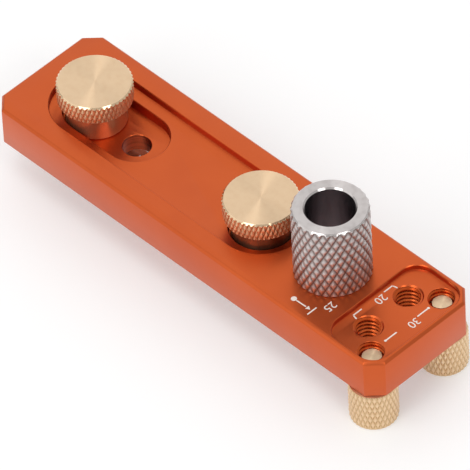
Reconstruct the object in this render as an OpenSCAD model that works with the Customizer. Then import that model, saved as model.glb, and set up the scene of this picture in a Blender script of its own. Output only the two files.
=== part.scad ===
// Drilling jig for aluminium extrusion: a bar plate that lies along a profile,
// two knobs that clamp it through nuts in the profile's slot, two stop pins that
// meet the profile's cut end, and an upright bush that guides the drill.
// +X runs along the plate towards the stop pins, +Z is up.
// The origin is on the drill's axis, in the plane of the plate's underside.

/* [Plate] */
// Length of the plate
plate_l = 106; // [100:1:140]
// Width of the plate
plate_w = 28; // [28:0.25:30]
// Thickness of the plate
plate_t = 9.5; // [8.5:0.5:14]
// Leg of the 45 degree cut at each upright corner
corner_cut = 3; // [1:0.25:4]
// Bevel along every outer edge
edge_bevel = 0.5; // [0.2:0.05:0.8]
// From the drill's axis to the end of the plate that has the stop pins
drill_to_end = 25; // [25:0.25:30]

/* [Long recess] */
// Rim left on each side of the long recess
recess_rim = 4.7; // [3.5:0.1:5.5]
// Depth of the long recess
recess_depth = 1.7; // [1:0.1:2.5]
// Depth of the knob seats below the long recess
seat_depth = 2.4; // [1.5:0.1:3]
// Radial room round a knob's collar in its seat
seat_room = 0.5; // [0.2:0.1:1]
// From the drill's axis to the inner knob's axis
inner_knob_reach = 19.5; // [18:0.5:24]
// From the far end of the plate to the outer knob's axis
outer_knob_inset = 15.25; // [13:0.25:18]
// From the outer knob's axis to the spare hole beside it
spare_pitch = 11.25; // [10:0.25:14]
// Radial room round a knob's stud in the plate
stud_room = 0.45; // [0.3:0.05:0.8]
// Diameter of the relief under each knob hole
relief_d = 9; // [8:0.25:12]
// Depth of the relief under each knob hole
relief_depth = 1.35; // [0.5:0.05:1.5]

/* [End pocket] */
// From the inner holes to the far side of the end pocket
pocket_room = 2; // [1:0.25:2]
// Rim left round the end pocket
pocket_rim = 1.1; // [0.8:0.05:1.2]
// Corner radius of the end pocket
pocket_corner = 4; // [2:0.25:4]
// Depth of the end pocket
pocket_depth = 1.2; // [0.6:0.1:2]

/* [Stop pins] */
// From the drill's axis to the profile's end with the pins in the inner holes
inner_stop = 10; // [9.5:0.1:10]
// From the drill's axis to the profile's end with the pins in the outer holes
outer_stop = 15; // [15:0.05:15.2]
// Diameter of a pin's knurled barrel
pin_d = 10; // [8:0.25:10]
// Length of a pin's knurled barrel
pin_l = 9; // [6:0.5:16]
// Break on a pin's edges
pin_break = 0.4; // [0.2:0.05:0.8]
// Outer diameter of the pins' thread
pin_thread_d = 6; // [5:0.25:6]
// Pitch of the pins' thread
pin_pitch = 1; // [0.5:0.1:1]
// From the pocket's floor down to the top of a pin that is screwed home
pin_drop = 1.4; // [0.2:0.1:1.5]
// Centre distance of the two inner holes
inner_spacing = 11; // [10.5:0.1:11]
// From an outer hole to the pocket's side wall
outer_room = 0.25; // [0.25:0.01:0.3]

/* [Drill bush] */
// Diameter of the bush's knurled barrel
bush_d = 15.6; // [15:0.1:18]
// Height of the barrel above the plate
bush_h = 17.2; // [10:0.2:30]
// Bore that guides the drill
bush_bore_d = 10; // [4:0.5:10]
// Break on the barrel's outer edge
bush_break = 0.5; // [0.2:0.05:0.8]
// Break on the mouth of the bore
bore_break = 0.3; // [0.1:0.05:0.6]
// Outer diameter of the bush's thread
bush_thread_d = 14; // [12:0.25:14]

/* [Knobs] */
// Diameter of a knob's knurled head
knob_d = 15.4; // [13:0.1:16]
// Height of a knob's head
knob_head_h = 4.4; // [3:0.1:7]
// Break on the head's edges
knob_break = 0.4; // [0.2:0.05:0.8]
// Diameter of the smooth collar under the head
collar_d = 12.4; // [10:0.1:12.6]
// Height of the collar
collar_h = 5.7; // [4.5:0.1:8]
// Break on the collar's lower edge
collar_break = 0.2; // [0.1:0.05:0.5]
// Outer diameter of the stud's thread
stud_d = 5; // [4:0.25:5]
// Pitch of the stud's thread
stud_pitch = 0.8; // [0.5:0.1:0.8]
// Depth of the stud's socket in the knob
socket_depth = 6.5; // [4:0.5:8]
// Length of stud that shows below the nut
stud_tail = 0.6; // [0.4:0.1:4]

/* [Slot nuts] */
// Length of a nut along the profile's slot
nut_l = 18; // [8:0.5:24]
// Width of a nut's flange
nut_w = 10.5; // [8:0.5:14]
// Height of a nut's flange
nut_h = 3; // [2:0.25:5]
// Width of the neck that rides between the slot's lips
neck_w = 5.8; // [5.6:0.1:7.8]
// Height of the neck
neck_h = 1.2; // [0.8:0.1:2]
// Bevel under the flange
nut_bevel = 1; // [0.4:0.1:1.4]
// From the plate's underside down to the neck, as drawn
nut_gap = 1; // [0.9:0.1:3]

/* [Fits] */
// Radial clearance of each thread, drawn as two plain rounds
thread_fit = 0.05; // [0.02:0.01:0.08]
// Gap under each shoulder that seats on the plate
seat_gap = 0.02; // [0.01:0.01:0.1]
// Radial gap round a stud pressed into its knob
press_gap = 0.01; // [0.01:0.01:0.05]
// Break on the mouths of the holes
hole_break = 0.2; // [0.1:0.05:0.25]

/* [Hidden] */
$fn = 96;

// How far a cutter reaches past the face that it cuts
overrun = 1;

// Places along the plate, from the drill's axis
far_end_x = drill_to_end - plate_l;
plate_mid_x = drill_to_end - plate_l / 2;
inner_knob_x = -inner_knob_reach;
outer_knob_x = far_end_x + outer_knob_inset;
spare_x = outer_knob_x + spare_pitch;

// Heights
recess_z = plate_t - recess_depth;
seat_z = recess_z - seat_depth;
pocket_z = plate_t - pocket_depth;
nut_top_z = -nut_gap;
flange_z = nut_top_z - neck_h;
nut_base_z = flange_z - nut_h;
stud_base_z = nut_base_z - stud_tail;

// Radii
recess_r = plate_w / 2 - recess_rim;
seat_r = collar_d / 2 + seat_room;
knob_hole_r = stud_d / 2 + stud_room;
stud_r = stud_d / 2 - thread_fit;
pin_thread_r = pin_thread_d / 2 - thread_fit;
bush_thread_r = bush_thread_d / 2 - thread_fit;

// Where the stop pins can stand, each as [x, y] for the side at +Y
inner_holes = [inner_stop + pin_d / 2, inner_spacing / 2];
outer_holes = [outer_stop + pin_d / 2, plate_w / 2 - pocket_rim - outer_room - pin_thread_d / 2];
pocket_x = inner_holes.x - pin_thread_d / 2 - pocket_room;

// A bar with its section across X bevelled, running along Y through the middle of the plate
module bevelled_bar(span) {
    half = span / 2;
    rotate([90, 0, 0])
        linear_extrude(2 * plate_l, center = true)
            polygon([
                [-half, edge_bevel], [edge_bevel - half, 0], [half - edge_bevel, 0], [half, edge_bevel],
                [half, plate_t - edge_bevel], [half - edge_bevel, plate_t],
                [edge_bevel - half, plate_t], [-half, plate_t - edge_bevel]
            ]);
}

// The plate's outside: every pair of opposite sides is one bevelled bar
module plate_blank() {
    cut_span = (plate_l + plate_w - 2 * corner_cut) / sqrt(2);
    translate([plate_mid_x, 0, 0])
        intersection() {
            bevelled_bar(plate_l);
            rotate([0, 0, 90])
                bevelled_bar(plate_w);
            rotate([0, 0, 45])
                bevelled_bar(cut_span);
            rotate([0, 0, -45])
                bevelled_bar(cut_span);
        }
}

// A straight slot with round ends, cut upwards from a floor
module round_slot(x_low, x_high, r, floor_z) {
    height = plate_t + overrun - floor_z;
    for (x = [x_low, x_high])
        translate([x, 0, floor_z])
            cylinder(h = height, r = r);
    translate([x_low, -r, floor_z])
        cube([x_high - x_low, 2 * r, height]);
}

// The end pocket: a rounded rectangle of plain solids
module end_pocket() {
    length = drill_to_end - pocket_rim - pocket_x;
    width = plate_w - 2 * pocket_rim;
    height = pocket_depth + overrun;
    translate([pocket_x, -width / 2, pocket_z]) {
        translate([pocket_corner, 0, 0])
            cube([length - 2 * pocket_corner, width, height]);
        translate([0, pocket_corner, 0])
            cube([length, width - 2 * pocket_corner, height]);
        for (x = [pocket_corner, length - pocket_corner], y = [pocket_corner, width - pocket_corner])
            translate([x, y, 0])
                cylinder(h = height, r = pocket_corner);
    }
}

// A hole right through, broken at its upper mouth and at the underside
module through_hole(x, y, r, mouth_z) {
    mouth_r = r + hole_break;
    translate([x, y, 0])
        rotate_extrude()
            polygon([
                [0, -overrun], [mouth_r + overrun, -overrun], [r, hole_break], [r, mouth_z - hole_break],
                [mouth_r, mouth_z], [mouth_r, mouth_z + overrun], [0, mouth_z + overrun]
            ]);
}

// The relief that opens a knob hole out at the underside
module hole_relief(x) {
    relief_r = relief_d / 2;
    translate([x, 0, 0])
        rotate_extrude()
            polygon([
                [0, -overrun], [relief_r + hole_break + overrun, -overrun], [relief_r, hole_break],
                [relief_r, relief_depth], [0, relief_depth]
            ]);
}

module jig_plate() {
    color("#cd5f32")
        difference() {
            plate_blank();
            round_slot(outer_knob_x, inner_knob_x, recess_r, recess_z);
            round_slot(outer_knob_x, spare_x, seat_r, seat_z);
            translate([inner_knob_x, 0, seat_z])
                cylinder(h = plate_t + overrun - seat_z, r = seat_r);
            for (x = [outer_knob_x, spare_x, inner_knob_x]) {
                through_hole(x, 0, knob_hole_r, seat_z);
                hole_relief(x);
            }
            end_pocket();
            for (side = [-1, 1], hole = [inner_holes, outer_holes])
                through_hole(hole.x, side * hole.y, pin_thread_d / 2, pocket_z);
            through_hole(0, 0, bush_thread_d / 2, plate_t);
        }
}

module drill_bush() {
    base = plate_t + seat_gap;
    top = plate_t + bush_h;
    barrel_r = bush_d / 2;
    bore_r = bush_bore_d / 2;
    color("#cfc9c6")
        rotate_extrude()
            polygon([
                [bore_r, 0], [bush_thread_r - hole_break, 0], [bush_thread_r, hole_break],
                [bush_thread_r, base], [barrel_r, base], [barrel_r, top - bush_break],
                [barrel_r - bush_break, top], [bore_r + bore_break, top], [bore_r, top - bore_break]
            ]);
}

// A knob: a knurled head over a smooth collar, with a blind socket for its stud
module knob(x) {
    base = seat_z + seat_gap;
    head = base + collar_h;
    top = head + knob_head_h;
    head_r = knob_d / 2;
    collar_r = collar_d / 2;
    socket_r = stud_r + press_gap;
    translate([x, 0, 0])
        color("#dcb877")
            rotate_extrude()
                polygon([
                    [socket_r, base], [collar_r - collar_break, base], [collar_r, base + collar_break],
                    [collar_r, head], [head_r - knob_break, head], [head_r, head + knob_break],
                    [head_r, top - knob_break], [head_r - knob_break, top], [0, top],
                    [0, base + socket_depth], [socket_r, base + socket_depth]
                ]);
}

// The threaded stud of a knob, from its socket down through the plate and the nut
module knob_stud(x) {
    top = seat_z + seat_gap + socket_depth;
    translate([x, 0, 0])
        color("#b9b6b2")
            rotate_extrude()
                polygon([
                    [0, stud_base_z], [stud_r - stud_pitch, stud_base_z], [stud_r, stud_base_z + stud_pitch],
                    [stud_r, top - press_gap], [0, top - press_gap]
                ]);
}

// A nut for the profile's slot: a neck between the lips over a wider flange
module slot_nut(x) {
    half = nut_w / 2;
    neck = neck_w / 2;
    translate([x, 0, 0])
        color("#a9a7a4")
            difference() {
                rotate([90, 0, 90])
                    linear_extrude(nut_l, center = true)
                        polygon([
                            [-neck, nut_top_z], [-neck, flange_z], [-half, flange_z],
                            [-half, nut_base_z + nut_bevel], [nut_bevel - half, nut_base_z],
                            [half - nut_bevel, nut_base_z], [half, nut_base_z + nut_bevel],
                            [half, flange_z], [neck, flange_z], [neck, nut_top_z]
                        ]);
                translate([0, 0, nut_base_z - overrun])
                    cylinder(h = nut_h + neck_h + 2 * overrun, r = stud_d / 2);
            }
}

// A stop pin: a knurled barrel below the plate and a threaded end that fills its hole
module stop_pin(side) {
    barrel_r = pin_d / 2;
    base = -pin_l;
    top = pocket_z - pin_drop;
    translate([outer_holes.x, side * outer_holes.y, 0])
        color("#dcb877")
            rotate_extrude()
                polygon([
                    [0, base], [barrel_r - pin_break, base], [barrel_r, base + pin_break],
                    [barrel_r, -pin_break - seat_gap], [barrel_r - pin_break, -seat_gap],
                    [pin_thread_r, -seat_gap], [pin_thread_r, top - pin_pitch], [pin_thread_r - pin_pitch, top],
                    [0, top]
                ]);
}

jig_plate();
drill_bush();
knob(inner_knob_x);  // inner_knob
knob_stud(inner_knob_x);  // inner_knob_stud
slot_nut(inner_knob_x);  // inner_slot_nut
knob(outer_knob_x);  // outer_knob
knob_stud(outer_knob_x);  // outer_knob_stud
slot_nut(outer_knob_x);  // outer_slot_nut
stop_pin(1);  // left_stop_pin
stop_pin(-1);  // right_stop_pin
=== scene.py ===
# %% [markdown]
# # A drilling jig for aluminium extrusion
#
# The real jig is an orange anodised bar with two brass thumb knobs that clamp it along a profile, a
# knurled steel bush that guides the drill, and two knurled brass pins that meet the profile's cut end.
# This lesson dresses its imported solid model: each solid keeps its place and its outside size, and gets
# the threads, knurls, edge breaks and finishes that a plain solid doesn't have.
#
# The frame comes first. Every object here is in metres, in the frame of the solids: the origin is on
# the drill's axis at the plate's underside, +X runs towards the pins and +Z is up.

import math

import bmesh
import bpy
from mathutils import Matrix, Vector


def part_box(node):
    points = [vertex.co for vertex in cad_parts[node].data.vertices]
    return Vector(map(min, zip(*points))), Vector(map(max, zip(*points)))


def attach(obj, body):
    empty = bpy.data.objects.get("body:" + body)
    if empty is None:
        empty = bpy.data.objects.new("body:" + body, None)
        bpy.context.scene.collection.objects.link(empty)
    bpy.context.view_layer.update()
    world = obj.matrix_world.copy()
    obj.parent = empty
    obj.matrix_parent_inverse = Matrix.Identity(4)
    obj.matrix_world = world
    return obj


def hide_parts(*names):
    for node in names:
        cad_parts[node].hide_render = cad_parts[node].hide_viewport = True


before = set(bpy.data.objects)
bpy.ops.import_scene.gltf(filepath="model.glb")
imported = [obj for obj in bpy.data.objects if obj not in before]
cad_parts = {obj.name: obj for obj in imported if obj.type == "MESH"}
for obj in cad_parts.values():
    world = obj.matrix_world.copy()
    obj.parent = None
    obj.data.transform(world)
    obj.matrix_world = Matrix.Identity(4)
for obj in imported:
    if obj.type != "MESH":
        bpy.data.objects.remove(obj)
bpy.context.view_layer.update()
MM = 0.001

# %% [markdown]
# ## Reading sizes off the solids
#
# A dressed piece has to stand exactly where its solid stands. Its axis, foot and top are read off the
# solid's own box, so nothing is fitted by eye, and only the small forms get sizes of their own.

# %% Measure the solids, in millimetres


def measure(node):
    """The lowest and highest corners of a solid, in millimetres."""
    low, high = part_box(node)
    return Vector(low) / MM, Vector(high) / MM


plate_low, plate_high = measure("jig_plate")
bush_low, bush_high = measure("drill_bush")
knob_low, knob_high = measure("inner_knob")
pin_low, pin_high = measure("left_stop_pin")
plate_top = plate_high.z
inner_knob_x = (knob_low.x + knob_high.x) / 2
outer_knob_x = sum(corner.x for corner in measure("outer_knob")) / 2
pin_x = (pin_low.x + pin_high.x) / 2
pin_y = (pin_low.y + pin_high.y) / 2
print("plate", [round(size, 2) for size in plate_high - plate_low], "mm")
print("knobs at x", inner_knob_x, outer_knob_x)

# %% [markdown]
# ## The camera
#
# The photograph was taken from far off with a long lens, 46 degrees above the plate and 43 degrees off
# its end, so parallel edges stay almost parallel. A camera can be aimed by angles or by a target. Here
# its three own directions are given, because they were solved from the photograph together with a
# small roll, and three directions leave nothing to aim.

# %% Place the camera
LENS_MM = 829.74
CAMERA_RIGHT = (0.7040760, 0.7090613, -0.0388478)
CAMERA_UP = (-0.4934841, 0.5278858, 0.6912380)
CAMERA_BACK = (0.5106373, -0.4675133, 0.7215822)
CAMERA_PLACE = Vector((1053.199, -989.421, 1526.387)) * MM

camera_data = bpy.data.cameras.new("long_lens")
camera_data.lens = LENS_MM
camera_data.clip_end = 20.0
camera = bpy.data.objects.new("camera", camera_data)
camera.matrix_world = Matrix.Translation(CAMERA_PLACE) @ Matrix(
    (CAMERA_RIGHT, CAMERA_UP, CAMERA_BACK)).transposed().to_4x4()
bpy.context.collection.objects.link(camera)
bpy.context.scene.camera = camera
print("camera", round(CAMERA_PLACE.length, 2), "m from the drill's axis")

# %% [markdown]
# ## Helpers for node trees and meshes
#
# Both Geometry Nodes and materials are built from nodes. One function sets a node's inputs and one adds
# any node, so a tree reads as a list of steps. A third opens a Geometry Nodes tree with its named
# inputs. The last two give a finished mesh its shading, smooth across curves with a crisp edge wherever
# two faces turn more than a set angle, and its place in the scene.

# %% Helpers for nodes and shading
MATH = "ShaderNodeMath"
CRISP_ANGLE = math.radians(24)


def wire(tree, node, inputs):
    """Set sockets, by name or in order, to values, other sockets or the first outputs of nodes."""
    for socket, value in inputs.items() if isinstance(inputs, dict) else enumerate(inputs):
        if isinstance(value, bpy.types.Node):
            value = value.outputs[0]
        if isinstance(value, bpy.types.NodeSocket):
            tree.links.new(value, node.inputs[socket])
        else:
            node.inputs[socket].default_value = value


def add(tree, kind, inputs=(), **settings):
    """Add a node with its settings and inputs."""
    node = tree.nodes.new(kind)
    for setting, value in settings.items():
        setattr(node, setting, value)
    wire(tree, node, inputs)
    return node


def new_tree(name, inputs, result):
    """A Geometry Nodes tree with named inputs, each with its socket's type, and one geometry out."""
    tree = bpy.data.node_groups.new(name, "GeometryNodeTree")
    for label, kind in inputs.items():
        tree.interface.new_socket(label, in_out="INPUT", socket_type="NodeSocket" + kind)
    tree.interface.new_socket(result, in_out="OUTPUT", socket_type="NodeSocketGeometry")
    return tree


def shade(mesh):
    """Smooth shading that stops at crisp edges."""
    mesh.shade_smooth()
    mesh.set_sharp_from_angle(angle=CRISP_ANGLE)


def place(name, mesh):
    """Link a mesh as an object at the origin."""
    piece = bpy.data.objects.new(name, mesh)
    bpy.context.collection.objects.link(piece)
    return piece


# %% [markdown]
# ## Colours
#
# Colours are noted as the hex values that a screen shows. A shader works with light, where twice the
# number is twice the light, so one function turns the screen's value into the shader's.

# %% Turn a screen colour into light


def light_of(hex_colour):
    """The linear colour, with alpha, of an sRGB hex value."""
    parts = [int(hex_colour[first:first + 2], 16) / 255 for first in (1, 3, 5)]
    linear = [part / 12.92 if part <= 0.04045 else ((part + 0.055) / 1.055) ** 2.4 for part in parts]
    return (*linear, 1.0)


print("half grey on screen is", round(light_of("#808080")[0], 3), "in light")

# %% [markdown]
# ## Orange anodised aluminium
#
# The bar is milled aluminium, blasted to a fine satin and anodised: acid grows a thin clear oxide layer
# and the dye sits in its pores. The eye sees a metal that is orange by reflection, so its shadows turn
# deep red where light bounces twice, under a clear skin that picks up pale haze at a glancing angle.
# The metal is a metallic shader with the dyed colour, the skin is its coat. The grain of the blasting
# is about 0.1 mm. It is drawn at 0.3 mm, since anything finer would vanish in the picture. Dye never
# takes quite evenly, so one more function lets a colour drift; the holes, the zinc and the ink use it too.

# %% Make the orange finish
ORANGE = "#CE591F"
DEEP_ORANGE = "#C9551D"
GRAIN_MM = 0.3
CLOUD_MM = 9


def new_material(name):
    """A node material with an empty tree but for the shader, which is given back with it."""
    material = bpy.data.materials.new(name)
    material.use_nodes = True
    return material, material.node_tree, material.node_tree.nodes["Principled BSDF"]


def mottle(tree, shader, size_mm, detail, colours, ends=(0.0, 1.0), in_rings=False):
    """Let a colour drift between two hex values, in clouds or in rings up Z; give back the noise."""
    noise = add(tree, "ShaderNodeTexNoise", {"Scale": 1 / (size_mm * MM), "Detail": detail})
    where = add(tree, "ShaderNodeTexCoord").outputs["Object"]
    if in_rings:
        noise.noise_dimensions = "1D"
        wire(tree, noise, {"W": add(tree, "ShaderNodeSeparateXYZ", {"Vector": where}).outputs["Z"]})
    else:
        wire(tree, noise, {"Vector": where})
    ramp = add(tree, "ShaderNodeValToRGB", {"Fac": noise})
    for element, end, colour in zip(ramp.color_ramp.elements, ends, colours):
        element.position = end
        element.color = light_of(colour)
    wire(tree, shader, {"Base Color": ramp})
    return noise


orange_anodised, tree, shader = new_material("orange_anodised_aluminium")
mottle(tree, shader, CLOUD_MM, 3.0, (DEEP_ORANGE, ORANGE), (0.3, 0.7))
where = add(tree, "ShaderNodeTexCoord").outputs["Object"]
grain = add(tree, "ShaderNodeTexNoise", {"Vector": where, "Scale": 1 / (GRAIN_MM * MM), "Detail": 2.0})
wire(tree, shader, {
    "Metallic": 1.0, "Coat Weight": 0.35, "Coat Roughness": 0.4, "Coat IOR": 1.6,
    "Roughness": add(tree, "ShaderNodeMapRange", {"Value": grain, "To Min": 0.28, "To Max": 0.36}),
    "Normal": add(tree, "ShaderNodeBump", {"Height": grain, "Strength": 0.12, "Distance": 0.02 * MM})})
print("made", orange_anodised.name)

# %% [markdown]
# ## Turned brass and turned steel
#
# Knobs, pins and bush are turned on a lathe and then knurled. The tool leaves fine grooves round the
# axis, and grooves spread light across themselves: a faced end shows a bow tie of light that turns as
# you walk round it. A shader can do this with anisotropic roughness along one direction. That
# direction is square to the groove and in the surface, which is the groove's direction crossed with
# the surface's normal, so one formula serves ends, barrels and chamfers alike. The groove's direction
# needs to know where the piece's axis stands, so each piece has its own material, centred by a Mapping
# node. Real grooves are about 0.05 mm apart; the drawn ones are 0.2 mm.
#
# The knurl is pressed in by a roller, so it has no grooves: its facets are smooth and reflect evenly.
# Its valleys are painted darker towards their feet with a second, duller colour: partly oil and dust,
# partly painted shade in the valleys. The same colour comes through faintly in small clouds everywhere
# else, where fingers have touched the metal. Edges broken by a sharp tool at a fine feed are the brightest
# faces of all. The height of the surface's normal tells these kinds apart: about 1 on a faced end, 0.7 on a
# broken edge and 0 on a barrel.

# %% Make a finish for turned metal
TURNING_MM = 0.2
SPECK_MM = 1.2
EDGE_GLOSS = 0.17
# Heights of a surface's normal: broken edges start at the first, sides end at the second, and faced
# ends start at the third
EDGE_FROM, SIDE_BELOW, END_FROM = 0.55, 0.6, 0.85


def turned_metal(name, colour, dust_and_shade_colour, axis_mm, outer_mm, depth_mm, faced, barrel):
    """Turned metal round an upright axis; faced and barrel are the roughness of its ends and its sides."""
    material, tree, shader = new_material(name)
    where = add(tree, "ShaderNodeTexCoord").outputs["Object"]
    centred = add(tree, "ShaderNodeMapping", {
        "Vector": where, "Location": (-axis_mm[0] * MM, -axis_mm[1] * MM, 0.0)})
    flat = add(tree, "ShaderNodeVectorMath", (centred, (1.0, 1.0, 0.0)), operation="MULTIPLY")
    radius = add(tree, "ShaderNodeVectorMath", (flat,), operation="LENGTH").outputs["Value"]
    groove = add(tree, "ShaderNodeVectorMath", ((0.0, 0.0, 1.0), flat), operation="CROSS_PRODUCT")
    turned = add(tree, "ShaderNodeVectorTransform", {"Vector": groove}, vector_type="VECTOR",
                 convert_from="OBJECT", convert_to="WORLD")
    normal = add(tree, "ShaderNodeNewGeometry").outputs["Normal"]
    across = add(tree, "ShaderNodeVectorMath", (turned, normal), operation="CROSS_PRODUCT")
    height = add(tree, "ShaderNodeSeparateXYZ", {"Vector": centred}).outputs["Z"]
    track = add(tree, MATH, (radius, height), operation="ADD")
    ring = add(tree, "ShaderNodeTexNoise", {"W": track, "Scale": 1 / (TURNING_MM * MM), "Detail": 1.0},
               noise_dimensions="1D")
    speck = add(tree, "ShaderNodeTexNoise", {"Vector": where, "Scale": 1 / (SPECK_MM * MM), "Detail": 4.0})
    foot = add(tree, "ShaderNodeMapRange", {
        "Value": radius, "From Min": (outer_mm - depth_mm) * MM,
        "From Max": (outer_mm - 0.25 * depth_mm) * MM, "To Min": 1.0, "To Max": 0.05})
    knurl_floor = (outer_mm - 1.05 * depth_mm) * MM
    outside = add(tree, MATH, (radius, knurl_floor), operation="GREATER_THAN")
    upright = add(tree, "ShaderNodeSeparateXYZ", {"Vector": normal}).outputs["Z"]
    side = add(tree, MATH, (upright, SIDE_BELOW), operation="LESS_THAN")
    rolled = add(tree, MATH, (outside, side), operation="MULTIPLY")
    # The knurl's valleys are painted darker towards their feet: partly oil and dust, partly painted shade
    valley_dust_and_shade = add(tree, MATH, (foot, rolled), operation="MULTIPLY")
    tarnish = add(tree, "ShaderNodeMapRange", {
        "Value": speck, "From Min": 0.45, "From Max": 0.8, "To Max": 0.2})
    dust_and_shade_share = add(tree, MATH, (valley_dust_and_shade, tarnish), operation="MAXIMUM")
    colours = add(tree, "ShaderNodeMix", {
        "Factor": dust_and_shade_share, 6: light_of(colour), 7: light_of(dust_and_shade_colour)}, data_type="RGBA")
    gloss = add(tree, "ShaderNodeValToRGB", {"Fac": upright})
    gloss.color_ramp.interpolation = "CONSTANT"
    gloss.color_ramp.elements[0].color = (barrel, barrel, barrel, 1.0)
    gloss.color_ramp.elements[1].position = END_FROM
    gloss.color_ramp.elements[1].color = (faced, faced, faced, 1.0)
    gloss.color_ramp.elements.new(EDGE_FROM).color = (EDGE_GLOSS, EDGE_GLOSS, EDGE_GLOSS, 1.0)
    uneven = add(tree, "ShaderNodeMapRange", {"Value": speck, "To Min": -0.05, "To Max": 0.05})
    wire(tree, shader, {
        "Metallic": 1.0, "Base Color": colours.outputs[2],
        "Tangent": add(tree, "ShaderNodeVectorMath", (across,), operation="NORMALIZE"),
        "Anisotropic": add(tree, "ShaderNodeMapRange", {"Value": rolled, "To Min": 0.85, "To Max": 0.0}),
        "Roughness": add(tree, MATH, (gloss, uneven), operation="ADD"),
        "Normal": add(tree, "ShaderNodeBump", {"Height": ring, "Strength": 0.1, "Distance": 0.01 * MM})})
    return material


def refinish(piece, finish, chosen):
    """Give the faces whose centres, in millimetres, a test chooses a finish of their own."""
    piece.data.materials.append(finish)
    number = len(piece.data.materials) - 1
    for face in piece.data.polygons:
        if chosen(face.center / MM):
            face.material_index = number


print("turning marks drawn every", TURNING_MM, "mm")

# %% [markdown]
# ## Rolling up a sheet
#
# Knurls and threads are made alike. A flat grid is rolled up like a sheet of paper: its columns go round
# the axis, its rings go up it, and the last column lands on the first. So both trees share three steps:
# one lays the sheet, one moves each point to its radius, height and angle, and one welds the seam, makes
# the geometry real and gives it its finish.

# %% Steps that both trees share
WELD_MM = 0.001


def lay_sheet(tree, around, rings):
    """A grid with one column more than go round, and the column and the ring of each point."""
    columns = add(tree, MATH, (around, 1.0), operation="ADD")
    sheet = add(tree, "GeometryNodeMeshGrid", {"Vertices X": columns, "Vertices Y": rings})
    index = add(tree, "GeometryNodeInputIndex")
    ring = add(tree, MATH, (index, rings), operation="MODULO")
    column_share = add(tree, MATH, (index, rings), operation="DIVIDE")
    return sheet, add(tree, MATH, (column_share,), operation="FLOOR"), ring


def roll_up(tree, given, sheet, radius, height, share):
    """Move each point of a sheet to its radius, its height and its share of a turn round the axis."""
    swing = add(tree, MATH, (share, math.tau), operation="MULTIPLY")
    spoke = add(tree, "ShaderNodeCombineXYZ", {"X": radius, "Z": height})
    turned = add(tree, "ShaderNodeVectorRotate", {"Vector": spoke, "Angle": swing}, rotation_type="Z_AXIS")
    return add(tree, "GeometryNodeSetPosition", {
        "Geometry": sheet, "Position": turned, "Offset": given["Axis"]})


def close_up(tree, given, rolled, result):
    """Weld what meets, make the geometry real, give it its finish and send it out."""
    closed = add(tree, "GeometryNodeMergeByDistance", {"Geometry": rolled, "Distance": WELD_MM * MM})
    real = add(tree, "GeometryNodeRealizeInstances", {"Geometry": closed})
    finished = add(tree, "GeometryNodeSetMaterial", {"Geometry": real, "Material": given["Finish"]})
    add(tree, "NodeGroupOutput", {result: finished})


print("points closer than", WELD_MM, "mm are welded")

# %% [markdown]
# ## A tree for knurled turnings
#
# A knurl is two sets of V grooves that wind round a barrel, one right-handed and one left-handed, and
# cut it into small pyramids. It could be a bump texture, but the outline of the barrel would stay
# smooth, and light wouldn't catch each tooth. So it is real geometry, by a rule: a grid whose columns
# follow one set of grooves and whose diagonals follow the other, so that every crest and every groove
# lies on an edge of the mesh. The two rollers of the tool never press alike, so the second set of
# grooves has a share of its own: below 1 it is shallower than the first, above 1 wider. The turned
# outline comes in as a line of points, radius along X and height along Z. Each point becomes one ring,
# and each ring is held inside the groove's radius.

# %% Build the knurling tree
knurling = new_tree("knurled_turning", {
    "Outline": "Geometry", "Teeth": "Int", "Columns a tooth": "Int", "Diamond height": "Float",
    "Crest radius": "Float", "Groove depth": "Float", "Flat crest": "Float", "Second groove": "Float",
    "Knurl foot": "Float", "Axis": "Vector", "Finish": "Material"}, "Turning")

given = add(knurling, "NodeGroupInput").outputs
points = add(knurling, "GeometryNodeAttributeDomainSize", {"Geometry": given["Outline"]})
rings = points.outputs["Point Count"]
span = add(knurling, MATH, (given["Teeth"], given["Columns a tooth"]), operation="MULTIPLY")
sheet, column, ring_number = lay_sheet(knurling, span, rings)
outline_point = add(knurling, "GeometryNodeSampleIndex", {
    "Geometry": given["Outline"], "Value": add(knurling, "GeometryNodeInputPosition"),
    "Index": ring_number}, data_type="FLOAT_VECTOR").outputs["Value"]
point = add(knurling, "ShaderNodeSeparateXYZ", {"Vector": outline_point}).outputs
tooth = add(knurling, MATH, (column, given["Columns a tooth"]), operation="DIVIDE")
climb = add(knurling, MATH, (point["Z"], given["Knurl foot"]), operation="SUBTRACT")
lift = add(knurling, MATH, (climb, given["Diamond height"]), operation="DIVIDE")
twist = add(knurling, MATH, (tooth, lift), operation="ADD")
share = add(knurling, MATH, (twist, given["Teeth"]), operation="DIVIDE")
crossing = add(knurling, MATH, (lift, 2.0, tooth), operation="MULTIPLY_ADD")
right_wall = add(knurling, MATH, (tooth, 0.5), operation="PINGPONG")
left_wall = add(knurling, MATH, (crossing, 0.5), operation="PINGPONG")
steep = add(knurling, MATH, (given["Flat crest"], -0.5, 0.5), operation="MULTIPLY_ADD")
filled = add(knurling, MATH, (1.0, given["Second groove"]), operation="SUBTRACT")
filled_wall = add(knurling, MATH, (steep, filled), operation="MULTIPLY")
second_wall = add(knurling, MATH, (left_wall, given["Second groove"], filled_wall),
                  operation="MULTIPLY_ADD")
pyramid = add(knurling, MATH, (right_wall, second_wall), operation="MINIMUM")
groove_radius = add(knurling, MATH, (given["Crest radius"], given["Groove depth"]),
                    operation="SUBTRACT")
knurl_radius = add(knurling, "ShaderNodeMapRange", {
    "Value": pyramid, "From Max": steep, "To Min": groove_radius, "To Max": given["Crest radius"]})
radius = add(knurling, MATH, (point["X"], knurl_radius), operation="MINIMUM")
wrapped = roll_up(knurling, given, sheet, radius, point["Z"], share)
faceted = add(knurling, "GeometryNodeTriangulate", {"Mesh": wrapped}, quad_method="FIXED_ALTERNATE")
close_up(knurling, given, faceted, "Turning")
print("knurling tree:", len(knurling.nodes), "nodes")

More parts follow.
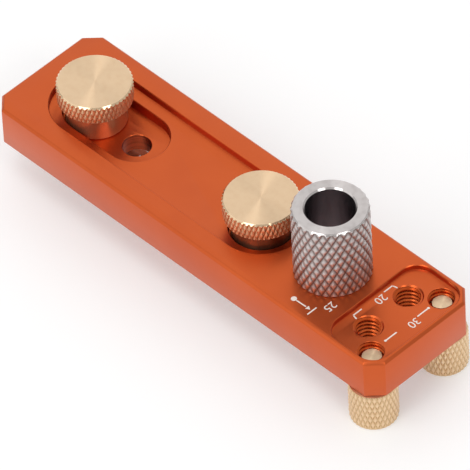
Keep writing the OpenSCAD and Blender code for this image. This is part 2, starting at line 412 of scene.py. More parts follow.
# %% [markdown]
# ## A tree for screw threads
#
# A thread is one ridge that winds up a rod. Seen in a section it is a row of 60 degree teeth, with a
# narrow flat on each crest and a wider one in each root. Blender's Screw modifier could wind such a
# section, but its ends stay open and its start is hard to place. Here a grid is wound instead: four
# rows a turn, at the four corners of the tooth, climb one pitch along the grid. Heights are held
# between the two ends, which closes them flat. The turn's place depends only on height and angle, so a
# rod and the hole round it always mesh.

# %% Build the thread tree
# Where along one pitch the four rows of a tooth lie: both sides of its crest, then both of its root
TOOTH_CORNERS = (-1 / 8, 1 / 8, 7 / 16, 9 / 16)
ROWS_A_TURN = len(TOOTH_CORNERS)
SPARE_ROWS = 14
THREAD_SEGMENTS = 64

threading = new_tree("screw_thread", {
    "Start": "Geometry", "Crest radius": "Float", "Root radius": "Float", "Pitch": "Float",
    "Low end": "Float", "High end": "Float", "Segments": "Int", "Axis": "Vector",
    "Finish": "Material"}, "Thread")

given = add(threading, "NodeGroupInput").outputs
length = add(threading, MATH, (given["High end"], given["Low end"]), operation="SUBTRACT")
pitches = add(threading, MATH, (length, given["Pitch"]), operation="DIVIDE")
turns = add(threading, MATH, (pitches,), operation="CEIL")
rows = add(threading, MATH, (turns, ROWS_A_TURN, SPARE_ROWS), operation="MULTIPLY_ADD")
sheet, column, row = lay_sheet(threading, given["Segments"], rows)
around = add(threading, MATH, (column, given["Segments"]), operation="DIVIDE")
inner_row = add(threading, MATH, (row, 1.0), operation="SUBTRACT")
corner = add(threading, MATH, (inner_row, ROWS_A_TURN), operation="FLOORED_MODULO")
turn_share = add(threading, MATH, (inner_row, 1 / ROWS_A_TURN), operation="MULTIPLY")
turn = add(threading, MATH, (turn_share,), operation="FLOOR")
tooth_corner = add(threading, "GeometryNodeIndexSwitch", data_type="FLOAT")
while len(tooth_corner.index_switch_items) < ROWS_A_TURN:
    tooth_corner.index_switch_items.new()
wire(threading, tooth_corner, (corner, *TOOTH_CORNERS))
low_pitches = add(threading, MATH, (given["Low end"], given["Pitch"]), operation="DIVIDE")
first_turn = add(threading, MATH, (low_pitches,), operation="FLOOR")
start_turn = add(threading, MATH, (first_turn, 1.0), operation="SUBTRACT")
whole = add(threading, MATH, (start_turn, turn), operation="ADD")
phased = add(threading, MATH, (whole, tooth_corner), operation="ADD")
wound = add(threading, MATH, (phased, around), operation="ADD")
free_height = add(threading, MATH, (wound, given["Pitch"]), operation="MULTIPLY")
above_low = add(threading, MATH, (free_height, given["Low end"]), operation="MAXIMUM")
height = add(threading, MATH, (above_low, given["High end"]), operation="MINIMUM")
height_pitches = add(threading, MATH, (height, given["Pitch"]), operation="DIVIDE")
from_start = add(threading, MATH, (height_pitches, around), operation="SUBTRACT")
along_tooth = add(threading, MATH, (from_start,), operation="FRACT")
off_crest = add(threading, MATH, (along_tooth, 0.5), operation="SUBTRACT")
from_crest = add(threading, MATH, (off_crest,), operation="ABSOLUTE")
thread_radius = add(threading, "ShaderNodeMapRange", {
    "Value": from_crest, "From Min": 1 / 16, "From Max": 3 / 8, "To Min": given["Crest radius"],
    "To Max": given["Root radius"]})
last_row = add(threading, MATH, (rows, 1.5), operation="SUBTRACT")
not_first = add(threading, MATH, (row, 0.5), operation="GREATER_THAN")
not_last = add(threading, MATH, (row, last_row), operation="LESS_THAN")
between = add(threading, MATH, (not_first, not_last), operation="MULTIPLY")
radius = add(threading, MATH, (thread_radius, between), operation="MULTIPLY")
wrapped = roll_up(threading, given, sheet, radius, height, around)
close_up(threading, given, wrapped, "Thread")
print("thread tree:", len(threading.nodes), "nodes")

# %% [markdown]
# ## Running a tree
#
# A tree runs as a modifier. Its inputs are set by each socket's own identifier before Blender looks at
# the object for the first time, and the result is kept as a plain mesh, so nothing live is left.

# %% Run a tree into a plain mesh


def grow(name, tree, axis_mm, finish, values, outline=()):
    """The plain object that a tree makes of an outline, with its named inputs set."""
    values = {**values, "Axis": (axis_mm[0] * MM, axis_mm[1] * MM, 0.0), "Finish": finish}
    mesh = bpy.data.meshes.new(name)
    mesh.from_pydata([(r * MM, 0.0, z * MM) for r, z in outline], [], [])
    piece = place(name, mesh)
    modifier = piece.modifiers.new("shape", "NODES")
    modifier.node_group = tree
    for item in tree.interface.items_tree:
        if item.in_out == "INPUT" and item.name in values:
            modifier[item.identifier] = values[item.name]
    graph = bpy.context.evaluated_depsgraph_get()
    grown = bpy.data.meshes.new_from_object(piece.evaluated_get(graph), depsgraph=graph)
    piece.modifiers.clear()
    grown.materials.clear()
    grown.materials.append(finish)
    grown.polygons.foreach_set("material_index", [0] * len(grown.polygons))
    piece.data = grown
    return piece


def thread(name, gauge, low_mm, high_mm, axis_mm, finish, fit=0.0):
    """A rod with flat ends, threaded to a (crest, root, pitch), or the solid that taps its hole."""
    crest, root, pitch = gauge
    return grow(name, threading, axis_mm, finish, {
        "Crest radius": (crest - fit) * MM, "Root radius": (root - fit) * MM, "Pitch": pitch * MM,
        "Low end": low_mm * MM, "High end": high_mm * MM, "Segments": THREAD_SEGMENTS})


# %% [markdown]
# ## Stacks of rings
#
# Everything that isn't knurled or threaded here is a stack of rings: a milled slot, a pocket, a bore
# with its edge breaks, the rounded end of a screw. One function draws a ring round the centres of its
# corner arcs: one centre makes a round form, two a slot with round ends, four a rounded rectangle. One
# closes a mesh through any rings, and one stacks rings by a list of levels, each a height and a radius.

# %% Make a solid from rings
ARC_STEP = math.radians(4)


def ring_at(centres, radius):
    """Points round the outline that is one radius out from the centres, anticlockwise."""
    if len(centres) == 1:
        count = round(math.tau / ARC_STEP)
        return [(centres[0][0] + radius * math.cos(math.tau * i / count),
                 centres[0][1] + radius * math.sin(math.tau * i / count)) for i in range(count)]
    points = []
    for i, (x, y) in enumerate(centres):
        before = centres[i - 1]
        after = centres[(i + 1) % len(centres)]
        first = math.atan2(before[0] - x, y - before[1])
        last = math.atan2(x - after[0], after[1] - y)
        sweep = (last - first) % math.tau
        count = max(1, round(sweep / ARC_STEP))
        for n in range(count + 1):
            angle = first + sweep * n / count
            points.append((x + radius * math.cos(angle), y + radius * math.sin(angle)))
    return points


def loft(name, rings):
    """A closed mesh through rings of as many points each, in millimetres."""
    count = len(rings[0])
    last = len(rings) - 1
    faces = [tuple(reversed(range(count))), tuple(range(last * count, (last + 1) * count))]
    for level in range(last):
        foot = level * count
        faces += [(foot + i, foot + (i + 1) % count, foot + count + (i + 1) % count, foot + count + i)
                  for i in range(count)]
    mesh = bpy.data.meshes.new(name)
    mesh.from_pydata([(x * MM, y * MM, z * MM) for ring in rings for x, y, z in ring], [], faces)
    return mesh


def stack(name, centres, levels):
    """A solid of level rings; each level is (height, radius) in millimetres, from the bottom up."""
    rings = [[(x, y, z) for x, y in ring_at(centres, radius)] for z, radius in levels]
    return place(name, loft(name, rings))


# %% [markdown]
# ## Cutting and joining
#
# Milled and tapped forms are made the way a machine makes them, by taking one solid from another. The
# Boolean modifier does this exactly when every solid is closed. The tools are thrown away afterwards.

# %% Combine solids


def combine(piece, *steps):
    """Apply Boolean steps, each (operation, tool), to a piece in order, and drop the tools."""
    for operation, tool in steps:
        modifier = piece.modifiers.new("step", "BOOLEAN")
        modifier.operation = operation
        modifier.solver = "MANIFOLD"
        modifier.object = tool
    graph = bpy.context.evaluated_depsgraph_get()
    result = bpy.data.meshes.new_from_object(piece.evaluated_get(graph), depsgraph=graph)
    piece.modifiers.clear()
    piece.data = result
    for operation, tool in steps:
        bpy.data.objects.remove(tool)


def cut(piece, tools):
    """Take solids from a piece in order."""
    combine(piece, *[("DIFFERENCE", tool) for tool in tools])


def report(piece):
    """Print a piece's faces and any edge that doesn't join exactly two of them."""
    check = bmesh.new()
    check.from_mesh(piece.data)
    loose = sum(not edge.is_manifold for edge in check.edges)
    volume = check.calc_volume(signed=True) / MM ** 3
    check.free()
    print(piece.name, len(piece.data.polygons), "faces,", loose, "open edges,", round(volume, 1), "mm3")


# %% [markdown]
# ## The plate's blank
#
# The bar is sawn from flat stock, its four upright corners are milled off at 45 degrees, and every edge
# is bevelled 0.5 mm. A plain octagon is drawn and raised, and the bevel goes round both of its rims,
# where mitres come out right by themselves. A hair of rounding on every edge then catches the thin line
# of light that a real edge shows.

# %% Raise and bevel the blank
CORNER_CUT = 3.0
EDGE_BEVEL = 0.5
HAIR_ROUND = 0.08


def bevel_edges(mesh, width_mm, segments, chosen):
    """Bevel the edges of a mesh that a test chooses."""
    work = bmesh.new()
    work.from_mesh(mesh)
    bmesh.ops.bevel(work, geom=[edge for edge in work.edges if chosen(edge)], offset=width_mm * MM,
                    offset_type="OFFSET", segments=segments, profile=0.5, affect="EDGES")
    work.to_mesh(mesh)
    work.free()


x0, x1 = plate_low.x, plate_high.x
y0, y1 = plate_low.y, plate_high.y
inner_x0, inner_x1 = x0 + CORNER_CUT, x1 - CORNER_CUT
inner_y0, inner_y1 = y0 + CORNER_CUT, y1 - CORNER_CUT
octagon = [(inner_x0, y0), (inner_x1, y0), (x1, inner_y0), (x1, inner_y1),
           (inner_x1, y1), (inner_x0, y1), (x0, inner_y1), (x0, inner_y0)]
blank = loft("jig_plate_dressed", [[(x, y, z) for x, y in octagon] for z in (plate_low.z, plate_top)])
bevel_edges(blank, EDGE_BEVEL, 1,
            lambda edge: abs(edge.verts[0].co.z - edge.verts[1].co.z) < 0.01 * MM)
bevel_edges(blank, HAIR_ROUND, 2, lambda edge: True)
plate = place("jig_plate_dressed", blank)
plate.data.materials.append(orange_anodised)
report(plate)

# %% [markdown]
# ## Milling the plate
#
# Seen from above, a long shallow recess lets the knobs' heads sink in, two deeper seats take their
# collars, and a shallow pocket at the near end keeps the pin holes and their numbers below the surface.
# Each is one stack of rings that widens a little at its mouth, which is the broken edge.

# %% Mill the recess, the seats and the pocket
RECESS_R = 9.3
RECESS_Z = 7.8
SEAT_R = 6.7
SEAT_Z = 5.4
POCKET_Z = 8.3
POCKET_RIM = 1.1
POCKET_X = 10.0
POCKET_CORNER = 4.0
SPARE_HOLE_X = -54.5
KNOB_HOLE_R = 2.95
RELIEF_R = 4.5
RELIEF_Z = 1.35
BREAK = 0.15
ABOVE = plate_top + 2.0
BELOW = plate_low.z - 2.0


def milled(name, centres, radius, floor, mouth, corner=0.1):
    """A cutter with a soft floor corner and a mouth that breaks the edge."""
    return stack(name, centres, [
        (floor, radius - corner), (floor + 0.3 * corner, radius - 0.3 * corner), (floor + corner, radius),
        (mouth - BREAK, radius), (mouth, radius + BREAK), (ABOVE, radius + BREAK)])


pocket_x0 = POCKET_X + POCKET_CORNER
pocket_x1 = plate_high.x - POCKET_RIM - POCKET_CORNER
pocket_y = plate_high.y - POCKET_RIM - POCKET_CORNER
pocket_centres = [
    (pocket_x1, pocket_y), (pocket_x0, pocket_y), (pocket_x0, -pocket_y), (pocket_x1, -pocket_y)]
recess_centres = [(inner_knob_x, 0), (outer_knob_x, 0)]
outer_seat_centres = [(SPARE_HOLE_X, 0), (outer_knob_x, 0)]
cut(plate, [
    milled("recess", recess_centres, RECESS_R, RECESS_Z, plate_top),
    milled("outer_seat", outer_seat_centres, SEAT_R, SEAT_Z, RECESS_Z),
    milled("inner_seat", [(inner_knob_x, 0)], SEAT_R, SEAT_Z, RECESS_Z),
    milled("end_pocket", pocket_centres, POCKET_CORNER, POCKET_Z, plate_top)])
report(plate)

# %% [markdown]
# ## Drilling and tapping the plate
#
# Three plain holes pass the knobs' studs, each opened out from below. Four holes are tapped for the pins
# and one large one for the bush. A tapped hole is cut by the solid of its own screw, and a cone at each
# mouth is the countersink that keeps the first turn from standing up as a burr; the two holes that the pins
# stand in have hardly any. A drill leaves a rougher wall than a milling cutter. The plain holes get a
# darker, browner orange, painted shade for the inside of a narrow hole, that varies from ring to ring. A
# tap cuts its turns smooth, so they shine more than the blasted faces.

# %% Drill and tap the holes
KNOB_HOLES = [(outer_knob_x, 0), (SPARE_HOLE_X, 0), (inner_knob_x, 0)]
PIN_HOLES = [(15.0, 5.5), (15.0, -5.5), (pin_x, pin_y), (pin_x, -pin_y)]
PIN_CREST, PIN_ROOT = 3.0, 2.5
PIN_THREAD = (PIN_CREST, PIN_ROOT, 1.0)
BUSH_CREST, BUSH_ROOT = 7.0, 6.47
BUSH_THREAD = (BUSH_CREST, BUSH_ROOT, 1.0)
MOUTH = 0.15
# How far a tap's solid, a rod or a bore runs past the faces where it ends
PAST = 1.0
FEED_MM = 0.6


def hole_finish(name, colours, roughness):
    """The metal of a hole's wall, whose colour varies from ring to ring."""
    material, tree, shader = new_material(name)
    mottle(tree, shader, FEED_MM, 2.0, colours, (0.3, 0.7), in_rings=True)
    wire(tree, shader, {"Metallic": 1.0, "Roughness": roughness})
    return material


# The plain holes' darker, browner orange is painted shade for the inside of a narrow hole
drilled_aluminium_painted_shade = hole_finish("drilled_orange_aluminium_painted_shade", ("#8A3C20", "#B25030"), 0.35)
tapped_aluminium = hole_finish("tapped_orange_aluminium", ("#C24E20", "#DE6A36"), 0.24)


def mouth_cone(name, middle, tip_r, rim_r, surface, way):
    """A countersink's solid, opening upwards (way 1) or downwards (way -1) at a surface."""
    levels = [(surface - way * (rim_r - tip_r), tip_r), (surface + way * PAST, rim_r + PAST)]
    return stack(name, [middle], sorted(levels))


def in_holes(middle, holes, radius, top):
    """Whether a face's centre lies on the wall of one of some holes, below a height."""
    reach = min(math.hypot(middle.x - x, middle.y - y) for x, y in holes)
    return reach < radius + 0.05 and middle.z < top


holes = []
for hole in KNOB_HOLES:
    holes += [
        stack("knob_hole", [hole], [(BELOW, KNOB_HOLE_R), (SEAT_Z + 0.5, KNOB_HOLE_R)]),
        mouth_cone("hole_mouth", hole, KNOB_HOLE_R - 0.3, KNOB_HOLE_R + 0.08, SEAT_Z, 1),
        stack("relief", [hole], [
            (BELOW, RELIEF_R + BREAK), (plate_low.z, RELIEF_R + BREAK), (plate_low.z + BREAK, RELIEF_R),
            (RELIEF_Z - 0.1, RELIEF_R), (RELIEF_Z, RELIEF_R - 0.1)])]
for hole in PIN_HOLES:
    tip_r, rim_r = PIN_CREST - 0.25, PIN_CREST + 0.05
    if hole[0] == pin_x:
        tip_r, rim_r = PIN_ROOT - 0.1, PIN_ROOT + 0.1
    holes += [
        thread("pin_tap", PIN_THREAD, -PAST, POCKET_Z + PAST, hole, orange_anodised),
        mouth_cone("pin_mouth", hole, tip_r, rim_r, POCKET_Z, 1),
        mouth_cone("pin_foot", hole, PIN_ROOT - 0.2, PIN_CREST + MOUTH, plate_low.z, -1)]
holes += [
    thread("bush_tap", BUSH_THREAD, -PAST, plate_top + PAST, (0, 0), orange_anodised),
    mouth_cone("bush_mouth", (0, 0), BUSH_ROOT - 0.3, BUSH_CREST + MOUTH, plate_top, 1),
    mouth_cone("bush_foot", (0, 0), BUSH_ROOT - 0.3, BUSH_CREST + MOUTH, plate_low.z, -1)]
cut(plate, holes)
refinish(plate, drilled_aluminium_painted_shade,
         lambda middle: in_holes(middle, KNOB_HOLES, KNOB_HOLE_R, SEAT_Z - 0.05))
refinish(plate, tapped_aluminium, lambda middle: in_holes(middle, PIN_HOLES, PIN_CREST, POCKET_Z - 0.3))
shade(plate.data)
report(plate)
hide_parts("jig_plate")
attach(plate, "plate")

# %% [markdown]
# ## Rows up a knurled barrel
#
# The knurling tree needs a ring at every height where two grooves can cross, or the crests would be cut
# short. One function lists them: the barrel's own corners, and between them one ring a step. Another
# runs the tree for a whole turning. A knurl is noted by its teeth round, its diamonds' height, its
# grooves' depth, the flat share of its crests and the share of its second grooves.

# %% Ring a barrel and knurl it
COLUMNS_A_TOOTH = 6


def barrel_rings(corners, diamond):
    """The barrel's corners with a ring at each knurling step between them, from the bottom up."""
    step = diamond / (2 * COLUMNS_A_TOOTH)
    foot = corners[0][1]
    rings = []
    for (r0, z0), (r1, z1) in zip(corners, corners[1:]):
        rings.append((r0, z0))
        for number in range(math.ceil((z0 - foot) / step), math.floor((z1 - foot) / step) + 1):
            z = foot + number * step
            if z - z0 > 0.2 * step and z1 - z > 0.2 * step:
                rings.append((r0 + (r1 - r0) * (z - z0) / (z1 - z0), z))
    return rings + [corners[-1]]


def knurled(name, outline, axis_mm, finish, teeth, diamond, depth, flat, second):
    """A turning whose outline is given before, along and after its one knurled barrel."""
    before, barrel, after = outline
    return grow(name, knurling, axis_mm, finish, {
        "Teeth": teeth, "Columns a tooth": COLUMNS_A_TOOTH, "Diamond height": diamond * MM,
        "Crest radius": max(r for r, z in barrel) * MM, "Groove depth": depth * MM,
        "Flat crest": flat, "Second groove": second, "Knurl foot": barrel[0][1] * MM},
        [*before, *barrel_rings(barrel, diamond), *after])


# %% [markdown]
# ## The drill bush
#
# The bush is turned from steel bar, bored 10 mm for the drill, coarsely knurled for the fingers and
# screwed into the plate. Counted in the photograph, the knurl has 29 teeth round and its diamonds are
# 3.1 mm high. Barrel and shank are made apart, each by its own tree, joined, and then bored in one go.

# %% Turn, knurl, join and bore the bush
BUSH_R = (bush_high.x - bush_low.x) / 2
BUSH_FOOT = plate_top + 0.02
BUSH_TOP = bush_high.z
BORE_R = 5.0
BUSH_KNURL = dict(teeth=29, diamond=3.1, depth=0.3, flat=0.25, second=0.92)
FIT = 0.05

bush_steel = turned_metal("turned_steel_bush", "#D3CDCB", "#7A6762", (0, 0), BUSH_R,
                          BUSH_KNURL["depth"], faced=0.4, barrel=0.44)
bush = knurled("drill_bush_dressed", (
    [(0, BUSH_FOOT)],
    [(BUSH_R - 0.2, BUSH_FOOT), (BUSH_R, BUSH_FOOT + 0.2), (BUSH_R, BUSH_TOP - 0.5),
     (BUSH_R - 0.5, BUSH_TOP)],
    [(0, BUSH_TOP)]), (0, 0), bush_steel, **BUSH_KNURL)
shank = thread("bush_shank", BUSH_THREAD, -2 * PAST, BUSH_FOOT + 2 * PAST, (0, 0), bush_steel, FIT)
combine(shank, ("INTERSECT", stack("shank_ends", [(0, 0)], [
    (0.0, BUSH_CREST - 0.7), (0.7, BUSH_CREST), (BUSH_FOOT + PAST, BUSH_CREST)])))
combine(
    bush,
    ("UNION", shank),
    ("DIFFERENCE", stack("bore", [(0, 0)], [
        (-PAST, BORE_R + 1.3), (0.3, BORE_R), (BUSH_TOP - 0.3, BORE_R), (BUSH_TOP + PAST, BORE_R + 1.3)])))
# The bore's steel is painted darker than the bush's outside, as painted shade inside the deep bore
bored_steel_painted_shade = turned_metal("bored_steel_painted_shade", "#A0979A", "#7E7473", (0, 0), BUSH_R,
                           BUSH_KNURL["depth"], faced=0.3, barrel=0.24)
refinish(bush, bored_steel_painted_shade, lambda middle: middle.xy.length < BORE_R + 0.05)
shade(bush.data)
report(bush)
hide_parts("drill_bush")
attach(bush, "bush")

# %% [markdown]
# ## The thumb knobs
#
# Both knobs are the same brass turning: a smooth collar that sits in its seat, a knurled head with a faced
# top, and a blind socket for a threaded stud. Their knurl is finer, 49 teeth round. The outline starts
# inside the socket, so the hole needs no cut of its own. The collar's brass is painted darker and browner
# than the head's, as painted shade under the head, and darker still on the knob beside the bush, as painted
# shade from the bush.

# %% Turn and knurl the knobs, and thread their studs
KNOB_R = (knob_high.x - knob_low.x) / 2
KNOB_FOOT = knob_low.z
KNOB_TOP = knob_high.z
COLLAR_R = 6.2
COLLAR_TOP = KNOB_FOOT + 5.7
SOCKET_R = 2.46
SOCKET_TOP = KNOB_FOOT + 6.5
FINE_DIAMOND = 2.7
KNOB_KNURL = dict(teeth=49, diamond=FINE_DIAMOND, depth=0.24, flat=0.15, second=0.82)
STUD_CREST, STUD_ROOT = 2.5, 2.05
STUD_THREAD = (STUD_CREST, STUD_ROOT, 0.8)
stud_low, stud_high = measure("inner_knob_stud")

stud_steel = turned_metal("threaded_steel", "#BDBBB8", "#8B8985", (0, 0), STUD_CREST - FIT,
                          STUD_CREST - STUD_ROOT, faced=0.3, barrel=0.3)
# The collars' brass is painted shade: darker than the heads', darkest on the inner knob beside the bush
for body, knob_x, collar_painted_shade_colours in (("inner_knob", inner_knob_x, ("#AC7A5B", "#926146")),
                                     ("outer_knob", outer_knob_x, ("#D99A72", "#B97B56"))):
    axis = (knob_x, 0)
    knob_brass = turned_metal(body + "_brass", "#EBCDA9", "#DDB58C", axis, KNOB_R,
                              KNOB_KNURL["depth"], faced=0.4, barrel=0.42)
    collar_painted_shade_brass = turned_metal(body + "_collar_painted_shade_brass", *collar_painted_shade_colours, axis, KNOB_R,
                                KNOB_KNURL["depth"], faced=0.3, barrel=0.38)
    knob = knurled(body + "_dressed", (
        [(0, SOCKET_TOP), (SOCKET_R, SOCKET_TOP), (SOCKET_R, KNOB_FOOT), (COLLAR_R - 0.2, KNOB_FOOT),
         (COLLAR_R, KNOB_FOOT + 0.2), (COLLAR_R, COLLAR_TOP)],
        [(KNOB_R - 0.4, COLLAR_TOP), (KNOB_R, COLLAR_TOP + 0.4), (KNOB_R, KNOB_TOP - 0.4),
         (KNOB_R - 0.4, KNOB_TOP)],
        [(0, KNOB_TOP)]), axis, knob_brass, **KNOB_KNURL)
    # The collar takes the brass that is painted darker as painted shade
    refinish(knob, collar_painted_shade_brass, lambda middle: middle.z < COLLAR_TOP - 0.01)
    shade(knob.data)
    report(knob)
    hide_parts(body)
    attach(knob, body)
    stud = thread(body + "_stud_dressed", STUD_THREAD, stud_low.z - 2 * PAST, stud_high.z + 2 * PAST,
                  axis, stud_steel, FIT)
    combine(stud, ("INTERSECT", stack("stud_ends", [axis], [
        (stud_low.z, STUD_CREST - 0.8), (stud_low.z + 0.8, STUD_CREST), (stud_high.z - 0.8, STUD_CREST),
        (stud_high.z, STUD_CREST - 0.8)])))
    shade(stud.data)
    report(stud)
    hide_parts(body + "_stud")
    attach(stud, body)

# %% [markdown]
# ## The slot nuts
#
# A slot nut is a short length of steel bar milled to a T and tapped through its middle, then zinc
# plated, which leaves it pale grey and slightly cloudy. Its section is drawn at both of its ends, and
# the mesh is closed through the two.

# %% Mill and tap the slot nuts
NUT_FLANGE = 3.0
NUT_NECK = 2.9
NUT_BEVEL = 1.0
NUT_EDGE = 0.15
NUT_MOUTH = 0.1
ZINC_CLOUD_MM = 1.5

zinc, tree, shader = new_material("zinc_plated_steel")
cloud = mottle(tree, shader, ZINC_CLOUD_MM, 5.0, ("#A5A6A8", "#D2D3D2"))
wire(tree, shader, {
    "Metallic": 1.0,
    "Roughness": add(tree, "ShaderNodeMapRange", {"Value": cloud, "To Min": 0.32, "To Max": 0.48}),
    "Normal": add(tree, "ShaderNodeBump", {"Height": cloud, "Strength": 0.1, "Distance": 0.02 * MM})})

for body, node, knob_x in (("inner_nut", "inner_slot_nut", inner_knob_x),
                           ("outer_nut", "outer_slot_nut", outer_knob_x)):
    axis = (knob_x, 0)
    low, high = measure(node)
    flange_top = low.z + NUT_FLANGE
    section = [
        (-NUT_NECK, high.z), (-NUT_NECK, flange_top), (low.y, flange_top), (low.y, low.z + NUT_BEVEL),
        (low.y + NUT_BEVEL, low.z), (high.y - NUT_BEVEL, low.z), (high.y, low.z + NUT_BEVEL),
        (high.y, flange_top), (NUT_NECK, flange_top), (NUT_NECK, high.z)]
    mesh = loft(node + "_dressed", [[(x, y, z) for y, z in section] for x in (low.x, high.x)])
    bevel_edges(mesh, NUT_EDGE, 2, lambda edge: edge.is_convex)
    nut = place(node + "_dressed", mesh)
    nut.data.materials.append(zinc)
    cut(nut, [
        thread("nut_tap", STUD_THREAD, low.z - PAST, high.z + PAST, axis, zinc),
        mouth_cone("nut_mouth", axis, STUD_ROOT - 0.2, STUD_CREST + NUT_MOUTH, high.z, 1),
        mouth_cone("nut_foot", axis, STUD_ROOT - 0.2, STUD_CREST + NUT_MOUTH, low.z, -1)])
    shade(nut.data)
    report(nut)
    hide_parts(node)
    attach(nut, body)

# %% [markdown]
# ## The stop pins
#
# Each pin is one brass turning: a knurled barrel below the plate and a threaded end that fills its
# hole. The flat end shows from above, just below the pocket's floor.

# %% Turn, knurl and thread the pins
PIN_R = (pin_high.x - pin_low.x) / 2
PIN_FOOT = pin_low.z
PIN_SHOULDER = -0.02
PIN_END = pin_high.z
PIN_KNURL = dict(teeth=30, diamond=FINE_DIAMOND, depth=0.29, flat=0.0, second=1.0)

for body, node, side in (("left_pin", "left_stop_pin", 1), ("right_pin", "right_stop_pin", -1)):
    axis = (pin_x, side * pin_y)
    # The pins' brass is painted a little paler than the knobs', as painted light against the shade under
    # the plate
    pin_brass_painted_paler = turned_metal(node + "_brass", "#EFD4B0", "#D2B186", axis, PIN_R,
                             PIN_KNURL["depth"], faced=0.4, barrel=0.22)
    pin = knurled(node + "_dressed", (
        [(0, PIN_FOOT)],
        [(PIN_R - 0.4, PIN_FOOT), (PIN_R, PIN_FOOT + 0.4), (PIN_R, PIN_SHOULDER - 0.3),
         (PIN_R - 0.3, PIN_SHOULDER)],
        [(0, PIN_SHOULDER)]), axis, pin_brass_painted_paler, **PIN_KNURL)
    screw = thread("pin_screw", PIN_THREAD, -2 * PAST, PIN_END + 2 * PAST, axis, pin_brass_painted_paler, FIT)
    combine(screw, ("INTERSECT", stack("pin_end", [axis], [
        (PIN_SHOULDER - PAST, PIN_CREST), (PIN_END - 1.0, PIN_CREST - FIT),
        (PIN_END - 0.1, PIN_CREST - 0.95), (PIN_END, PIN_CREST - 1.05)])))
    combine(pin, ("UNION", screw))
    shade(pin.data)
    report(pin)
    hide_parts(node)
    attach(pin, body)

# %% [markdown]
# ## The printed marks
#
# White ink on the plate tells which holes belong to which profile: plain numbers, and thin lines from
# each number to its two holes. Ink is a film a few hundredths of a millimetre thick, so each mark is a
# flat mesh just above the metal. All marks are one piece that rides on the plate.

# %% Print the marks
INK_LIFT = 0.02
INK_CLOUD_MM = 0.4
LINE_WIDTH = 0.3
NUMBER_SIZE = 2.6
END_DOT_R, SYMBOL_R = 0.28, 0.6
# Each number with its centre and height; each line of a pair by its two ends, on the +Y side
NUMBERS = (("20", 11.6, 1.3, POCKET_Z), ("30", 20.7, 1.2, POCKET_Z), ("25", 6.7, -7.6, plate_top))
PAIR_LINES = ((10.8, 3.2, 10.8, 5.25), (11.1, 5.45, 11.8, 5.6), (20.05, 3.0, 20.05, 5.5))
END_DOT = (20.05, 5.9)

ink, tree, shader = new_material("white_screen_ink")
mottle(tree, shader, INK_CLOUD_MM, 3.0, ("#EADBD0", "#F8EFE8"))
wire(tree, shader, {"Roughness": 0.5})

marks = bmesh.new()


def print_line(x0, y0, x1, y1, z):
    """A straight printed line between two points, in millimetres."""
    along = Vector((x1 - x0, y1 - y0)).normalized() * LINE_WIDTH / 2
    square = Vector((-along.y, along.x))
    start, end = Vector((x0, y0)) - along, Vector((x1, y1)) + along
    corners = [start - square, end - square, end + square, start + square]
    marks.faces.new([marks.verts.new((p.x * MM, p.y * MM, (z + INK_LIFT) * MM)) for p in corners])


def print_dot(x, y, radius, z, sides=24):
    """A round printed dot, or a triangle with three sides, on top of the line that it ends."""
    turns = [math.tau * i / sides for i in range(sides)]
    marks.faces.new([marks.verts.new(((x + radius * math.cos(t)) * MM, (y + radius * math.sin(t)) * MM,
                                      (z + 1.5 * INK_LIFT) * MM)) for t in turns])


def print_number(text, x, y, z):
    """A number centred on a point, read along -Y with its top towards +X."""
    letters = bpy.data.curves.new("number", "FONT")
    letters.body = text
    letters.size = NUMBER_SIZE * MM
    letters.align_x = "CENTER"
    letters.align_y = "CENTER"
    holder = place("number", letters)
    graph = bpy.context.evaluated_depsgraph_get()
    mesh = bpy.data.meshes.new_from_object(holder.evaluated_get(graph), depsgraph=graph)
    centre = Matrix.Translation((x * MM, y * MM, (z + INK_LIFT) * MM))
    mesh.transform(centre @ Matrix.Rotation(-math.pi / 2, 4, "Z"))
    marks.from_mesh(mesh)
    bpy.data.objects.remove(holder)


for number in NUMBERS:
    print_number(*number)
for side in (-1, 1):
    for start_x, start_y, end_x, end_y in PAIR_LINES:
        print_line(start_x, side * start_y, end_x, side * end_y, POCKET_Z)
    print_dot(END_DOT[0], side * END_DOT[1], END_DOT_R, POCKET_Z)
# The symbol: a dot, a line, a triangle and a bar
print_dot(0.15, -10.85, SYMBOL_R, plate_top)
print_line(0.95, -10.83, 3.2, -10.77, plate_top)
print_dot(3.9, -10.75, SYMBOL_R, plate_top, 3)
print_line(5.0, -11.9, 5.0, -9.7, plate_top)
print_mesh = bpy.data.meshes.new("printed_marks")
marks.to_mesh(print_mesh)
marks.free()
printed = place("printed_marks", print_mesh)
printed.data.materials.append(ink)
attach(printed, "plate")
print("printed marks:", len(print_mesh.polygons), "faces")

# %% [markdown]
# ## Floor and light
#
# A product photograph like this one is lit by large soft boxes over a white table: one on each side of
# the camera, which put the two bright glints on every chamfer with a darker gap between them, a broad
# one behind the jig that the flat tops mirror, a low one that fills the long side, and a small one
# overhead. White paper would show a grey shadow all round the plate. The photograph has none, as over
# a table of white acrylic that is lit from below, so a quarter of the floor's light is its own. The floor
# is plain and pale, level with the pins' feet.

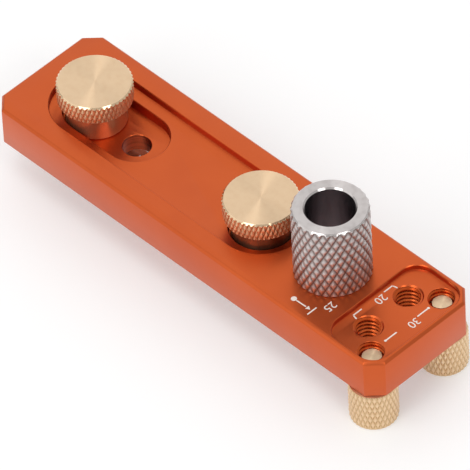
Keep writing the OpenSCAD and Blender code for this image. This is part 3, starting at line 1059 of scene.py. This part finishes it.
# %% Lay the floor and hang the lights
FLOOR_HALF = 6.0
TARGET = Vector((-28, 0, 5)) * MM
LIGHT_DISTANCE = 1.2
CAMERA_AZIMUTH = -42.7
# Name, azimuth and elevation in degrees, width and height in metres, power in watts
LIGHTS = (
    ("left_box", CAMERA_AZIMUTH - 38, 42, 0.5, 0.6, 2.5),
    ("right_box", CAMERA_AZIMUTH + 33, 42, 0.4, 0.4, 1.9),
    ("fill_box", CAMERA_AZIMUTH - 75, 25, 1.0, 0.8, 1.15),
    ("back_box", CAMERA_AZIMUTH + 180, 46, 1.5, 1.25, 2.55),
    ("top_box", -100, 75, 0.4, 0.4, 1.6))
WHITE = light_of("#FFFFFF")

floor_z = pin_low.z * MM
floor_corners = [(x * FLOOR_HALF, y * FLOOR_HALF, floor_z) for x, y in ((-1, -1), (1, -1), (1, 1), (-1, 1))]
floor_mesh = bpy.data.meshes.new("floor")
floor_mesh.from_pydata(floor_corners, [], [(0, 1, 2, 3)])
floor = place("floor", floor_mesh)
acrylic, tree, shader = new_material("backlit_white_acrylic")
wire(tree, shader, {
    "Base Color": light_of("#E1E1E1"), "Roughness": 0.9,
    "Emission Color": WHITE, "Emission Strength": 0.27})
floor.data.materials.append(acrylic)


def soft_box(name, azimuth, elevation, width, height, watts):
    """A rectangular light that faces the jig; angles are in degrees, sizes in metres."""
    lamp = bpy.data.lights.new(name, "AREA")
    lamp.shape = "RECTANGLE"
    lamp.size = width
    lamp.size_y = height
    lamp.energy = watts
    level = math.cos(math.radians(elevation))
    away = Vector((level * math.cos(math.radians(azimuth)), level * math.sin(math.radians(azimuth)),
                   math.sin(math.radians(elevation))))
    facing = away.to_track_quat("Z", "Y").to_matrix().to_4x4()
    holder = bpy.data.objects.new(name, lamp)
    holder.matrix_world = Matrix.Translation(TARGET + away * LIGHT_DISTANCE) @ facing
    bpy.context.collection.objects.link(holder)


for light in LIGHTS:
    soft_box(*light)
world = bpy.data.worlds.new("studio")
world.use_nodes = True
wire(world.node_tree, world.node_tree.nodes["Background"], {"Color": WHITE, "Strength": 0.6})
bpy.context.scene.world = world
bpy.context.scene.view_settings.view_transform = "Standard"
